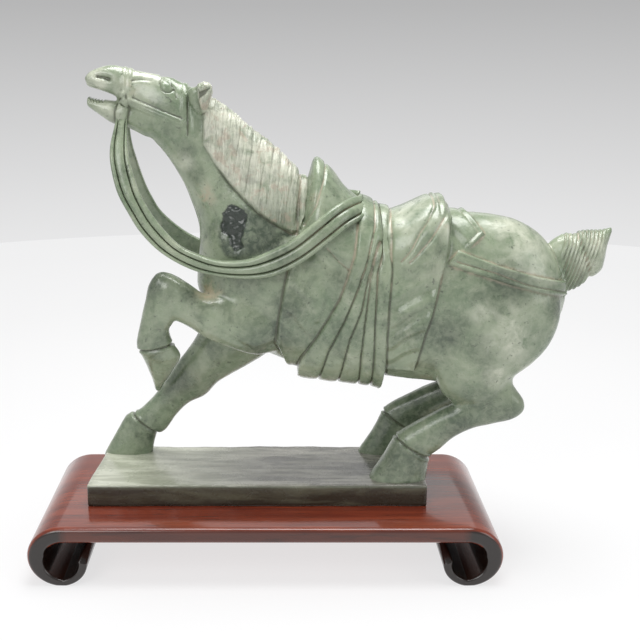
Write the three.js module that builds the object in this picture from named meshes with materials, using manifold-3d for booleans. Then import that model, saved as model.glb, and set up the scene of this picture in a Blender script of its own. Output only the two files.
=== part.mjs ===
// Carved stone horse on an oblong slab, standing on a low wooden stand with scroll-shaped ends.
// Millimetres, +Z up, the horse's head toward -X. Outlines are laid out from the middle of the stand,
// x along it and z up from the floor, and the whole is moved to its own middle at the end.
import * as THREE from 'three';
import { mergeVertices } from 'three/addons/utils/BufferGeometryUtils.js';
import Module from 'manifold-3d';

const wasm = await Module();
wasm.setup();

// Driving sizes
const standLength = 400;
const standDepth = 168;
const standHeight = 52.15;
const boardUnderside = 38.6;
const restGap = 0.3;
const slabTop = 72;
const middle = 5.6; // y of the horse's plane of symmetry
const farOut = 130; // half-length of the cutters that run right through from side to side
const clothRise = 2.2;
const sashRise = 4.6;
const sashSag = 5; // how much lower the sash hangs under the belly
const maneRise = 2.4;
const crupperRise = 2.4;
const strapRise = 1.6;
const grooveWidth = 1.8; // chisel lines in the saddle, cloth, sash and straps
const grooveDepth = 1.6;
const nickDepth = 1.6; // groove where a hoof begins
const nickSpread = 0.16; // half the width of that groove, in rows
const earDrop = 3; // how much further forward and down the far ear lies

// A closed three.js geometry as a solid that can be joined and cut.
const toSolid = (geometry) => {
  geometry.deleteAttribute('normal');
  geometry.deleteAttribute('uv');
  const closed = mergeVertices(geometry, 1e-4);
  return new wasm.Manifold(new wasm.Mesh({
    numProp: 3,
    vertProperties: closed.attributes.position.array,
    triVerts: closed.index.array,
  }));
};

// Value of a table of stations at a fractional row, along a smooth curve through every row.
const rowAt = (rows, t) => {
  const i = Math.min(Math.floor(t), rows.length - 2);
  const f = t - i;
  const near = [i - 1, i, i + 1, i + 2].map((k) => THREE.MathUtils.clamp(k, 0, rows.length - 1));
  const [before, here, next, after] = near.map((k) => rows[k]);
  return here.map((value, k) => {
    const slopeIn = (next[k] - before[k]) / 2;
    const slopeOut = (after[k] - value) / 2;
    const rise = next[k] - value;
    const bend = 3 * rise - 2 * slopeIn - slopeOut;
    return value + f * (slopeIn + f * (bend + f * (slopeIn + slopeOut - 2 * rise)));
  });
};

// Rows of equal-length point rings joined into one closed skin.
const skin = (rings) => {
  const around = rings[0].length;
  const points = rings.flat();
  const triangles = [];
  for (let r = 0; r < rings.length - 1; r++) {
    for (let k = 0; k < around; k++) {
      const a = r * around + k;
      const b = r * around + (k + 1) % around;
      triangles.push([a, b, b + around], [a, b + around, a + around]);
    }
  }
  [0, rings.length - 1].forEach((r) => {
    const hub = points.length;
    points.push([0, 1, 2].map((k) => rings[r].reduce((sum, p) => sum + p[k], 0) / around));
    for (let k = 0; k < around; k++) {
      const a = r * around + k;
      const b = r * around + (k + 1) % around;
      triangles.push(r === 0 ? [hub, b, a] : [hub, a, b]);
    }
  });
  const corners = points.map((p) => new THREE.Vector3(...p));
  const volume = triangles.reduce((sum, [a, b, c]) =>
    sum + corners[a].dot(new THREE.Vector3().crossVectors(corners[b], corners[c])), 0);
  const geometry = new THREE.BufferGeometry().setFromPoints(corners);
  geometry.setIndex(triangles.flatMap((t) => (volume < 0 ? t.slice().reverse() : t)));
  return toSolid(geometry);
};

// A body whose cross-sections run between two points of its side outline. Each row is
// [upper x, upper z, lower x, lower z, y of the middle, half-width in y], 'power' squares the section.
const loft = (rows, { steps = 1, around = 14, grow = 0, power = 2.2 } = {}) => {
  const rings = [];
  for (let i = 0; i <= (rows.length - 1) * steps; i++) {
    const [px, pz, qx, qz, y, half] = rowAt(rows, i / steps);
    const reach = Math.hypot(px - qx, pz - qz) / 2;
    const scale = (reach + grow) / reach / 2;
    const ring = [];
    for (let k = 0; k < around; k++) {
      const angle = 2 * Math.PI * k / around;
      const u = Math.sign(Math.cos(angle)) * Math.abs(Math.cos(angle)) ** (2 / power) * scale;
      const v = Math.sign(Math.sin(angle)) * Math.abs(Math.sin(angle)) ** (2 / power) * (half + grow);
      ring.push([(px + qx) / 2 + (px - qx) * u, y + v, (pz + qz) / 2 + (pz - qz) * u]);
    }
    rings.push(ring);
  }
  return skin(rings);
};

// A row made larger all round by the given rise, or smaller where it is negative.
const swell = ([px, pz, qx, qz, y, half], rise) => {
  const reach = Math.hypot(px - qx, pz - qz);
  const [ux, uz] = [(px - qx) / reach * rise, (pz - qz) / reach * rise];
  return [px + ux, pz + uz, qx - ux, qz - uz, y, half + rise];
};

// Rows that step between two rises, as locks of hair or windings of a cord do.
const ridged = (rows, count, low, high) => {
  const last = rows.length - 1.001;
  const marks = Array.from({ length: 2 * count + 1 }, (_, i) => i);
  return marks.map((i) => swell(rowAt(rows, i / (2 * count) * last), i % 2 ? high : low));
};

// Rows with one narrow groove cut all round at a fractional row.
const nicked = (rows, at) => [
  ...rows.slice(0, Math.floor(at) + 1),
  rowAt(rows, at - nickSpread),
  swell(rowAt(rows, at), -nickDepth),
  rowAt(rows, at + nickSpread),
  ...rows.slice(Math.floor(at) + 1),
];

const flatShape = (outline) => new THREE.Shape(outline.map((point) => new THREE.Vector2(...point)));

// A side outline of [x, z] points carried straight through in y.
const prism = (outline, y0 = middle - farOut, y1 = middle + farOut) => {
  const geometry = new THREE.ExtrudeGeometry(flatShape(outline), { depth: y1 - y0, bevelEnabled: false });
  geometry.rotateX(Math.PI / 2);
  geometry.translate(0, y1, 0);
  return toSolid(geometry);
};

// A band of the given width along a line of [x, z] points, as a prism.
const band = (line, width, y0, y1) => {
  const sides = [[], []];
  line.forEach(([x, z], i) => {
    const [ax, az] = line[Math.max(0, i - 1)];
    const [bx, bz] = line[Math.min(line.length - 1, i + 1)];
    const run = Math.hypot(bx - ax, bz - az);
    const nx = -(bz - az) / run * width / 2;
    const nz = (bx - ax) / run * width / 2;
    sides[0].push([x + nx, z + nz]);
    sides[1].unshift([x - nx, z - nz]);
  });
  return prism([...sides[0], ...sides[1]], y0, y1);
};

const joined = (solids) => solids.reduce((all, one) => all.add(one));
const mirrorRows = (rows) => rows.map(([a, b, c, d, y, half]) => [a, b, c, d, 2 * middle - y, half]);

// Trunk, from the chest to the root of the tail
const trunkRows = [
  [-53, 258, -52, 228, middle, 12],
  [-46, 282, -44, 206, middle, 25],
  [-28, 298, -26, 193, middle, 34],
  [0, 304, 0, 181, middle, 39],
  [34, 307, 32, 169.5, middle, 42],
  [70, 307, 70, 164.5, middle, 43],
  [107, 303, 107, 159, middle, 43],
  [145, 304, 142, 154.5, middle, 43],
  [181, 302.5, 170, 152, middle, 43],
  [211, 297.5, 200, 160, middle, 41.5],
  [233, 285.5, 224, 172, middle, 37],
  [248, 268, 242.5, 190, middle, 28],
  [256, 250, 253, 211, middle, 16],
  [259, 238, 257.5, 226, middle, 6],
];

// Neck, from the poll down into the trunk; the upper line is the crest below the mane
const neckRows = [
  [-60, 398, -93, 363, middle, 13],
  [-46, 397.5, -84, 353, middle, 16.5],
  [-33, 390, -73, 336, middle, 18.5],
  [-14, 374, -64, 316, middle, 21.5],
  [6, 358, -56.5, 292, middle, 26],
  [24, 341, -57, 266, middle, 31],
  [34, 322, -59, 241, middle, 34],
  [44, 296, -52, 226, middle, 34],
];

// Skull with the upper jaw and the cheeks
const headRows = [
  [-148.2, 414.5, -147.4, 410, middle, 5],
  [-144.5, 418.8, -145.5, 407.5, middle, 8.5],
  [-136, 422.8, -138, 403, middle, 10.6],
  [-126, 424.6, -127, 396, middle, 11],
  [-111, 421.4, -114, 386, middle, 11.5],
  [-96, 418.6, -101, 372, middle, 13.5],
  [-80, 415.6, -89, 360, middle, 16.5],
  [-66, 409.5, -74, 352, middle, 17],
  [-53, 402, -56, 352, middle, 14],
];
const jawRows = [
  [-147.4, 396, -147, 390, middle, 5],
  [-144.5, 399.6, -141.5, 386.6, middle, 7.6],
  [-137, 399.6, -134, 380.5, middle, 9],
  [-127, 397, -125.5, 377.2, middle, 9.8],
  [-112, 396, -111, 372.6, middle, 10.6],
  [-98, 392, -97, 364.5, middle, 11],
];

// Raised fore leg on the near side: forearm up to the knee, then the shank and hoof hanging down
const raisedArmRows = [
  [24, 232, 36, 208, 2, 20],
  [2, 237, 14, 189, -9, 22],
  [-17, 237, -8, 184, -15, 20.5],
  [-36, 236.5, -32, 191.5, -18.6, 17.5],
  [-50, 236, -50, 200, -20, 15.5],
  [-64, 246, -64, 209, -20, 14],
  [-77, 254, -74.5, 214.5, -20, 13],
  [-89, 256.5, -84, 217, -20, 12],
  [-97.5, 247, -93, 222, -20, 9],
  [-100.5, 238, -98.5, 230, -20, 3.5],
];
const raisedShankRows = [
  [-96, 250, -68, 238, -20, 11],
  [-101.5, 232, -76.5, 216, -20, 11.8],
  [-105.5, 215, -81.8, 206.5, -19.6, 10.8],
  [-109.5, 197, -80.4, 197.5, -19, 11.4],
  [-109, 190, -79.5, 193.5, -17.5, 11.4],
  [-105.5, 180.5, -73.6, 181.6, -14, 11.6],
  [-102.5, 169, -79, 170, -7, 11],
  [-100.7, 158.5, -84, 160, 1, 9.5],
  [-100, 150, -90, 150, 9, 8],
  [-99, 140, -94, 141, 16, 6],
];

// Planted fore leg on the far side, reaching forward to the slab
const plantedArmRows = [
  [-36, 245.5, 26, 203.5, 12, 24],
  [-54, 205, 2, 175, 22, 20],
  [-66.5, 181, -20, 159.5, 27, 16.5],
  [-80.5, 161.5, -42.5, 144.5, 31, 13.6],
  [-91.5, 144.5, -55.5, 130.5, 34, 12.6],
  [-101.5, 130.5, -70.5, 122.5, 36, 11.6],
  [-113, 117, -82.5, 110, 38, 10.8],
  [-121, 111, -93.5, 94.5, 39.3, 10.6],
  [-128, 108.5, -101.5, 92, 40, 10.4],
  [-132.5, 103.5, -103, 88, 40.5, 10.6],
  [-142, 87, -105, 80, 41, 10.8],
  [-150.5, 72, -106.5, 70.5, 41.3, 11],
  [-152, 66, -107, 66, 41.3, 11],
];

// Hind leg: thigh down to the hock, then the shank running forward to the hoof
const thighRows = [
  [156, 258, 220, 264, -4, 22],
  [142, 236, 244, 246, -12, 25],
  [140, 208, 250.5, 222, -16, 24.5],
  [143, 184, 243.5, 197, -18.4, 22],
  [146, 166, 230, 180, -19.6, 19.4],
  [151, 151, 215, 168, -20, 16.4],
  [166, 138, 212.5, 160, -20, 13.5],
  [186, 126, 219, 150, -20, 11],
  [206, 124, 223.5, 141, -20, 7],
];
const shankRows = [
  [224.5, 142, 224.5, 134, -20, 5],
  [218, 150, 216, 127, -20, 10.5],
  [202, 150, 197, 122.5, -20, 12.4],
  [181, 147, 180, 118.6, -20, 12.4],
  [159, 138.4, 164, 110.5, -19.6, 11.8],
  [138, 126.4, 152.5, 99.5, -19, 12.4],
  [116.4, 113, 145.2, 93.6, -18.6, 13.4],
  [111.3, 106.8, 143.4, 90.5, -18.2, 14],
  [103.5, 91.5, 142.3, 80, -18, 15.4],
  [92, 72.8, 141, 70, -17.6, 17],
  [90, 66, 140.5, 65, -17.6, 17],
];

// The far hind shank stands at the back edge of the slab
const farShankRows = [
  [221, 144.5, 221, 136.5, 31, 5],
  [214.5, 152.5, 212.5, 129.5, 31.5, 10],
  [198.5, 152, 193.5, 124.5, 32, 11.5],
  [176, 149, 176.5, 120.5, 33, 11.5],
  [152.5, 141, 161, 111.5, 34.5, 11],
  [130, 129, 149.5, 99.5, 36.5, 10.8],
  [111.7, 117.4, 141.5, 92, 38.5, 10.8],
  [106.6, 110, 141, 89, 39.5, 10.8],
  [98.5, 92.5, 140, 78, 40.5, 11],
  [86, 72, 139, 69, 41, 11.2],
  [84, 66, 138.5, 65, 41, 11.2],
];

// Tail bound into two bundles that end in a short upturned cone
const tailRootRows = [
  [236, 270, 250, 236, middle, 9],
  [246, 280, 261, 234.6, middle, 13],
  [255, 284.4, 272, 239.6, middle, 14.4],
  [261, 284.6, 276.8, 244, middle, 13.6],
  [263.5, 282, 277.6, 247, middle, 11],
];
const tailTipRows = [
  [260, 282, 275.5, 245, middle, 11],
  [265, 285.6, 281, 246.6, middle, 13.4],
  [273, 287, 288.4, 252.6, middle, 13.6],
  [281, 287.3, 290.8, 262, middle, 10.6],
  [289, 288.4, 292.2, 274, middle, 6.4],
  [295.8, 290.6, 296, 287.4, middle, 1.2],
];

const flesh = (grow) => joined([
  loft(trunkRows, { around: 16, grow }),
  loft(neckRows, { around: 12, grow }),
]);
const haunch = (grow) => joined([
  loft(thighRows, { around: 10, grow }),
  loft(mirrorRows(thighRows), { around: 10, grow }),
]);
const head = (grow) => loft(headRows, { around: 12, grow });
const jaw = (grow) => loft(jawRows, { around: 10, grow, power: 2.4 });

// Saddle: the pommel rises to a point over the withers, the cantle flares behind the seat
const pommelRows = [
  [33.5, 308, 28, 230, middle, 32],
  [38, 328, 33, 226, middle, 38],
  [44, 347.5, 38, 222, middle, 42],
  [54, 341.5, 46, 220, middle, 43.6],
  [63, 328.5, 60, 220, middle, 44.6],
  [74, 319, 74, 220, middle, 45],
  [92, 310.5, 94, 225, middle, 44],
];
const cantleRows = [
  [104, 305, 106, 225, middle, 42],
  [118, 308.5, 116, 225, middle, 45.4],
  [132, 314.5, 126, 225, middle, 46.8],
  [145, 318.4, 134, 225, middle, 47],
  [153.5, 315, 141, 228, middle, 45.6],
  [157, 306, 149, 234, middle, 42],
];

// Saddle cloth, its pointed flap behind the saddle, and the sash bound round the belly
const clothOutline = [
  [27, 300], [28, 285], [19.4, 260], [16, 243], [12, 220], [9, 197], [15, 186], [31, 150],
  [101, 150], [102.6, 174], [126.6, 172.8], [129.5, 189], [133, 206], [138, 222], [143.7, 250],
  [147, 271], [149, 292], [149, 325], [40, 325],
];
const flapOutline = [
  [140, 325], [152, 318], [163, 309], [172, 300.6], [181.4, 288.7], [167, 277], [140, 268],
];
const sashLines = [
  [[78.7, 325], [75.4, 287.5], [69, 255.8], [53.3, 220.6], [32.2, 186], [31, 150]],
  [[90.2, 325], [88.7, 293], [77.4, 248.7], [53.6, 193], [40, 150]],
  [[91.2, 284], [80, 229], [58, 150]],
  [[91.8, 283], [82.8, 218], [81.9, 150]],
  [[91.6, 325], [92, 253], [92.4, 150]],
  [[103, 325], [105, 287.5], [101.1, 203], [102, 150]],
];
const sashOutline = [...sashLines[0], ...sashLines[5].slice().reverse()];

// Mane: hair grooves run from the crest down to the wavy lower edge
const maneEdge = [
  [-50.5, 384], [-49, 371.6], [-46.8, 354], [-37.6, 335.3], [-26.8, 323], [-14.6, 313.4],
  [-2.3, 303.7], [8.7, 296.8], [23.8, 289], [31, 293],
];
const maneOutline = [...maneEdge, [36, 312], [40, 350], [0, 400], [-30, 430], [-56, 425], [-54, 400]];

const lockCount = 8;
const maneRows = ridged(neckRows, lockCount, 0.6, maneRise);

let body = joined([flesh(0), haunch(0)]);

const saddle = (grow) => joined([
  loft(pommelRows, { around: 14, grow, power: 2 }),
  loft(cantleRows, { around: 14, grow, power: 2.4 }),
]);
const cantleLine = [[141.4, 330], [139.8, 310.6], [133.4, 299.7], [127, 291.4], [112.7, 269]];
const cantleGroove = band(cantleLine, grooveWidth);
const pommelGroove = band([[49.5, 352], [47.6, 332.4], [42.4, 313], [31, 288]], grooveWidth);

const wrapped = flesh(clothRise);
const cloth = wrapped.intersect(prism(clothOutline)).add(wrapped.intersect(prism(flapOutline)));
const folds = [
  [[137, 246], [110, 212]],
  [[131, 208], [108, 182]],
  [[70, 262], [48, 284]],
].map((line) => band(line, grooveWidth));
const foldCuts = joined(folds).subtract(flesh(clothRise - grooveDepth));

const sashRows = trunkRows.map(([px, pz, qx, qz, y, half]) => [px, pz, qx, qz - sashSag, y, half]);
const sashBody = loft(sashRows, { around: 16, grow: sashRise });
const sashCore = loft(sashRows, { around: 16, grow: sashRise - grooveDepth });
const sashCuts = joined(sashLines.slice(1, 5).map((line) => band(line, grooveWidth))).subtract(sashCore);

const strapTop = [[160, 276], [190, 265], [218, 256.5], [247, 248.6], [268, 243]];
const strapLow = [[268, 231], [247.7, 236.7], [211.5, 246.6], [179.4, 256.5], [150, 266]];
const crupperSkin = (grow) => joined([flesh(grow), haunch(grow)]);
const crupper = crupperSkin(crupperRise).intersect(prism([...strapTop, ...strapLow]));
const crupperMid = band([[158, 267.6], [190, 258.5], [218, 248], [247.5, 240], [266, 235]], grooveWidth);
const crupperCut = crupperMid.subtract(crupperSkin(crupperRise - grooveDepth));

const mane = loft(maneRows, { around: 12 }).intersect(prism(maneOutline));

body = body.add(cloth).subtract(foldCuts);
body = body.add(saddle(0).subtract(joined([cantleGroove, pommelGroove]).subtract(saddle(-grooveDepth))));
body = body.add(sashBody.intersect(prism(sashOutline)).subtract(sashCuts));
body = body.add(crupper.subtract(crupperCut));
body = body.add(mane);

// Head: open mouth cut right through, eyes, nostrils and the bridle
const mouthOutline = [
  [-152, 411], [-145, 409], [-142.5, 406.4], [-128.4, 401.6], [-124.6, 400], [-124.4, 397.6],
  [-135.4, 397.6], [-141.5, 398], [-152, 398.5],
];
const oval = (x, y, z, rx, ry, rz, lean = 0) => {
  const ball = new THREE.OctahedronGeometry(1, 1);
  ball.scale(rx, ry, rz);
  ball.rotateY(lean);
  ball.translate(x, y, z);
  return toSolid(ball);
};
const bothSides = (make) => joined([-1, 1].map((side) => make(side)));

let skull = joined([head(0), jaw(0)]);
const bridleLines = [
  [[-110.6, 428], [-113.6, 396]],
  [[-112, 398.5], [-68, 382]],
  [[-62.5, 412], [-64, 368]],
];
const bridle = joined(bridleLines.map((line) => band(line, 5)));
const cheekPiece = prism([[-121, 396], [-114, 397], [-111.5, 390], [-116, 380], [-119, 376], [-122, 384]]);
const skullWrap = joined([head(strapRise), jaw(strapRise)]);
skull = skull.add(skullWrap.intersect(bridle.add(cheekPiece)));
skull = skull.subtract(prism(mouthOutline));
skull = skull.subtract(bothSides((side) => oval(-131, middle + side * 11.4, 414.8, 5.4, 3, 2.2, 0.25)));
skull = skull.subtract(bothSides((side) => oval(-80, middle + side * 16.4, 406.6, 6, 3.4, 4.2, 0.5)));
skull = skull.add(bothSides((side) => oval(-80, middle + side * 13.2, 406.4, 3.8, 3.2, 2.8, 0.4)));
skull = skull.add(bothSides((side) => oval(-112.5, middle + side * 12.4, 399.8, 3.2, 2.4, 3.2)));

const earRows = [
  [-64, 402, -53, 382, -7, 5.5],
  [-59, 405, -49, 387, -12, 5],
  [-54.5, 407.6, -45.8, 395, -14.6, 4.2],
  [-49, 409.6, -44.6, 402.6, -15.6, 2.6],
  [-46.4, 410.2, -45, 407.6, -15.8, 0.9],
];
const hollowRows = earRows.map(([a, b, c, d, y, half]) => [
  a + (c - a) * 0.24, b + (d - b) * 0.24, a + (c - a) * 0.8, b + (d - b) * 0.8, y - 4.4, half * 0.8]);
const laidBack = (rows) => mirrorRows(rows).map(([a, b, c, d, y, half]) =>
  [a - earDrop, b - earDrop, c - earDrop, d - earDrop, y, half]);
const ear = (rows) => loft(rows, { around: 10, power: 2 });
const ears = joined([ear(earRows), ear(laidBack(earRows))]);
const hollows = joined([ear(hollowRows.slice(1, 4)), ear(laidBack(hollowRows.slice(1, 4)))]);
body = body.add(skull).add(ears).subtract(hollows);

// Legs, with a groove round each pastern where the hoof begins
const leg = (rows) => loft(rows, { around: 10, power: 2.4 });
body = joined([
  body,
  leg(raisedArmRows),
  leg(nicked(raisedShankRows, 3.7)),
  leg(nicked(plantedArmRows, 7.5)),
  leg(nicked(shankRows, 6.7)),
  leg(nicked(farShankRows, 6.7)),
]);

// Tail
const wound = (rows, windings) => loft(ridged(rows, windings, -0.5, 0.3), { around: 10, power: 2 });
body = joined([body, wound(tailRootRows, 5), wound(tailTipRows, 6)]);

// Reins: a flat strap of three strands each side, from the bit in a loop past the chest to the saddle.
// Each row is [x, z, y of the outer edge, x, z, y of the inner edge, half-thickness].
const reinRows = [
  [-121.5, 388, -9, -113, 388, -9, 2.6],
  [-123.5, 375.5, -12, -113, 375.5, -12, 3],
  [-126.5, 360, -17, -112, 360, -17, 3.2],
  [-126, 346, -20.5, -109.5, 346.5, -20.5, 3.4],
  [-121, 325, -25.5, -102.5, 325, -25.5, 3.6],
  [-112.5, 308.5, -28.5, -94.5, 310.5, -28.5, 3.8],
  [-102, 292, -31, -85, 297.5, -31, 4],
  [-85, 275.5, -34, -69.5, 282, -34, 4.2],
  [-61, 262.5, -36, -53, 274.5, -36, 4.4],
  [-38, 257, -38, -36, 270, -38, 4.4],
  [-12.5, 255.5, -40.5, -15, 271.5, -40.5, 4.6],
  [9, 258.8, -42.4, 1.5, 278, -42.4, 4.8],
  [31, 270, -43, 20.5, 287.5, -43, 5],
  [50.5, 284, -40.5, 39, 301.4, -39.5, 5],
  [66, 295.5, -36.5, 56, 313.5, -32, 4.8],
  [75, 299, -33, 68.5, 317.5, -20, 4.4],
  [80, 300, -29.5, 78, 319, -6, 3.4],
];
const farReinLead = [0, 1.5, 2, 2, 3, 5, 6, 3, 1]; // how far the far rein hangs ahead of the near one
const farReinDrop = [0, 0, 0, 0, 0, 0, 1, 2, 4, 4, 4, 2]; // and below it
const farReinRows = reinRows.map(([ax, az, ay, bx, bz, by, half], i) => {
  const lead = farReinLead[i] ?? 0;
  const drop = farReinDrop[i] ?? 0;
  return [ax - lead, az - drop, 2 * middle - ay, bx - lead, bz - drop, 2 * middle - by, half];
});
const reinSection = [
  [1, 0.3], [0.75, 1], [0.5, 0.45], [0.3, 1], [-0.2, 1], [-0.42, 0.45], [-0.7, 1.05], [-1, 0.3],
  [-0.9, -0.95], [0.9, -0.95],
];
const rein = (rows, side) => {
  const middles = rows.map(([ax, az, ay, bx, bz, by]) =>
    new THREE.Vector3((ax + bx) / 2, (ay + by) / 2, (az + bz) / 2));
  return skin(rows.map(([ax, az, ay, bx, bz, by, half], i) => {
    const across = new THREE.Vector3(ax - bx, ay - by, az - bz);
    const next = middles[Math.min(i + 1, rows.length - 1)];
    const along = next.clone().sub(middles[Math.max(i - 1, 0)]);
    const out = across.clone().cross(along).normalize();
    out.multiplyScalar(half * side * Math.sign(out.y));
    return reinSection.map(([u, v]) =>
      middles[i].clone().addScaledVector(across, u / 2).addScaledVector(out, v).toArray());
  }));
};
body = body.add(rein(reinRows, -1)).add(rein(farReinRows, 1));

// Slab under the hooves, its edges slightly uneven
const slabOutline = [
  [-155, -38.6], [-90, -39.4], [-20, -38.8], [50, -39.2], [139.6, -38.9], [140.2, 10], [139.6, 50.2],
  [60, 50.8], [-40, 50.2], [-149, 50.7], [-152, 5],
];
const plate = (outline, z0, z1) => {
  const geometry = new THREE.ExtrudeGeometry(flatShape(outline), { depth: z1 - z0, bevelEnabled: false });
  geometry.translate(0, 0, z0);
  return toSolid(geometry);
};
const slabBottom = standHeight + restGap;
const belowSlabTop = prism([[-200, 0], [250, 0], [250, slabBottom], [-200, slabBottom]]);
body = body.subtract(belowSlabTop).add(plate(slabOutline, slabBottom, slabTop));

// Stand: a board whose ends roll down and inward into scrolls, thinnest where they touch the floor
const scrollReach = 29.5;
const scrollRise = 26.3;
const scrollX = standLength / 2 - scrollReach;
const scrollZ = standHeight - scrollRise;
const boardWall = standHeight - boardUnderside;
const sideWall = 15.2;
const footWall = 5.6;
const tipWall = 8;
const footStrip = 1; // outline points lower than this lie on the floor
const scrollAt = (angle, inset) => [
  scrollX + Math.cos(angle) * (scrollReach - inset[0]),
  scrollZ + Math.sin(angle) * (scrollRise - inset[1]),
];
const outer = [];
const inner = [];
for (let a = 90; a >= -162; a -= 12) {
  const curl = Math.max(0, (-90 - a) / 75);
  const shrink = [8 * curl, 4.6 * curl];
  const wall = a >= 0 ? THREE.MathUtils.lerp(sideWall, boardWall, a / 90)
    : THREE.MathUtils.lerp(sideWall, footWall, Math.min(1, -a / 90)) + (tipWall - footWall) * curl;
  outer.push(scrollAt(a * Math.PI / 180, shrink));
  inner.push(scrollAt(a * Math.PI / 180, shrink.map((part) => part + wall)));
}
inner[0] = [scrollX - 6, boardUnderside];
const grounded = outer.map(([x, z]) => [x, z < footStrip ? 0 : z]);
const halfOutline = [...grounded, ...inner.reverse()];
const leftHalf = halfOutline.map(([x, z]) => [-x, z]).reverse();
const standShape = flatShape([...leftHalf, ...halfOutline]);
const edge = 1.4;
const standGeometry = new THREE.ExtrudeGeometry(standShape, {
  depth: standDepth - 2 * edge,
  bevelEnabled: true,
  bevelThickness: edge,
  bevelSize: edge,
  bevelOffset: -edge,
  bevelSegments: 1,
  steps: 1,
});
standGeometry.rotateX(Math.PI / 2);
standGeometry.translate(0, standDepth / 2 - edge, 0);

const toGeometry = (solid) => {
  const mesh = solid.getMesh();
  const geometry = new THREE.BufferGeometry();
  const stride = mesh.numProp;
  const positions = new Float32Array(mesh.vertProperties.length / stride * 3);
  for (let i = 0; i < positions.length / 3; i++) {
    positions.set(mesh.vertProperties.slice(i * stride, i * stride + 3), i * 3);
  }
  geometry.setAttribute('position', new THREE.BufferAttribute(positions, 3));
  geometry.setIndex(new THREE.BufferAttribute(new Uint32Array(mesh.triVerts), 1));
  geometry.computeVertexNormals();
  return geometry;
};

const stone = new THREE.MeshStandardMaterial({ color: 0x9fae98, roughness: 0.4 });
const wood = new THREE.MeshStandardMaterial({ color: 0x7a2c1c, roughness: 0.3 });
const horse = new THREE.Mesh(toGeometry(body), stone);
horse.name = 'horse';
const stand = new THREE.Mesh(standGeometry, wood);
stand.name = 'stand';

const group = new THREE.Group();
group.add(horse, stand);
const box = new THREE.Box3().setFromObject(group);
const shift = -(box.min.x + box.max.x) / 2;
horse.geometry.translate(shift, 0, 0);
stand.geometry.translate(shift, 0, 0);

export default group;
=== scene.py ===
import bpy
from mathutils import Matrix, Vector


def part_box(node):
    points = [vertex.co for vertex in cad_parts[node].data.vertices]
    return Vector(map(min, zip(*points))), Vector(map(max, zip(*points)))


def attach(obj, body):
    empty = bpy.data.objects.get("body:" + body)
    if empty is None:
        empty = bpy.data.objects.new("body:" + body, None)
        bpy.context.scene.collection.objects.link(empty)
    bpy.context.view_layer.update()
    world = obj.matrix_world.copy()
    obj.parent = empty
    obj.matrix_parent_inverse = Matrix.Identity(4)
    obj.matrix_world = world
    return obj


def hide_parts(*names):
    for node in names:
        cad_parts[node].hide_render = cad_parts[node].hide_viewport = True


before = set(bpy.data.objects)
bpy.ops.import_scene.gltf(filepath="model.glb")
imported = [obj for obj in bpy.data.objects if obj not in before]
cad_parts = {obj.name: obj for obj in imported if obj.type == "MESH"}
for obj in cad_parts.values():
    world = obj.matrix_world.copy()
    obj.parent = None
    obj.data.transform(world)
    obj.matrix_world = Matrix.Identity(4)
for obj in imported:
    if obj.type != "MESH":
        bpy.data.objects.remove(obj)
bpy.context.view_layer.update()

import math

import bmesh
import bpy
import numpy as np

# Horse, roughed out: the trunk, neck, head, legs and tail of the single block of polished stone.
# The carver saws the side view first, then rounds it; every section here runs between two points
# of that side view, in millimetres from the middle of the stand, and is then rubbed smooth.
MM = 0.001
stand_low, stand_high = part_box("stand")
stand_x = (stand_low.x + stand_high.x) / 2 / MM
spine_y = 5.6
cloth_rise = 3.0
fusing_cell = 0.8
rubbing_rounds = 50


def smooth_rows(rows, steps):
    """Cubic through every row: Hermite spans whose slopes are half the difference of the rows beside."""
    rows = np.asarray(rows, float)
    padded = np.vstack([rows[0], rows, rows[-1]])
    slope = (padded[2:] - padded[:-2]) / 2
    f = (np.arange(steps) / steps)[None, :, None]
    a, b, sa, sb = rows[:-1, None], rows[1:, None], slope[:-1, None], slope[1:, None]
    spans = a + f * (sa + f * (3 * (b - a) - 2 * sa - sb + f * (sa + sb - 2 * (b - a))))
    return np.vstack([spans.reshape(-1, rows.shape[1]), rows[-1:]])


def closed_skin(rings):
    """Quads between successive rings of points, and a fan at each end: a closed surface facing outwards."""
    count, around = rings.shape[:2]
    hubs = np.stack([rings[0].mean(0), rings[-1].mean(0)])
    points = np.vstack([rings.reshape(-1, 3), hubs])
    r, k = np.meshgrid(np.arange(count - 1), np.arange(around), indexing="ij")
    a, b = r * around + k, r * around + (k + 1) % around
    quads = np.stack([a, b, b + around, a + around], -1).reshape(-1, 4)
    ring = np.arange(around)
    after = (ring + 1) % around
    last = (count - 1) * around
    near = np.stack([np.full(around, count * around), after, ring], -1)
    far = np.stack([np.full(around, count * around + 1), last + ring, last + after], -1)
    corners = points[quads]
    turn = np.cross(corners[:, 2] - corners[:, 0], corners[:, 3] - corners[:, 1])
    outward = (turn * corners.mean(1)).sum() > 0
    faces = quads.tolist() + near.tolist() + far.tolist()
    return points, faces if outward else [face[::-1] for face in faces]


def rounded(rows, grow=0.0, power=2.2, around=64, steps=8):
    """A closed body of sections |u|^power + |v|^power = 1, each between two points of the side view.

    A row has the upper x and z, the lower x and z, the middle y and the half-width."""
    px, pz, qx, qz, y, half = smooth_rows(rows, steps).T[:, :, None]
    reach = np.hypot(px - qx, pz - qz) / 2
    angle = np.linspace(0, 2 * np.pi, around, endpoint=False)[None]
    u = np.sign(np.cos(angle)) * np.abs(np.cos(angle)) ** (2 / power) * (reach + grow) / reach / 2
    v = np.sign(np.sin(angle)) * np.abs(np.sin(angle)) ** (2 / power) * (half + grow)
    return closed_skin(np.stack([(px + qx) / 2 + (px - qx) * u, y + v, (pz + qz) / 2 + (pz - qz) * u], -1))


def other_side(rows):
    """The same rows on the far side of the spine."""
    return [(a, b, c, d, 2 * spine_y - y, half) for a, b, c, d, y, half in rows]


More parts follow.
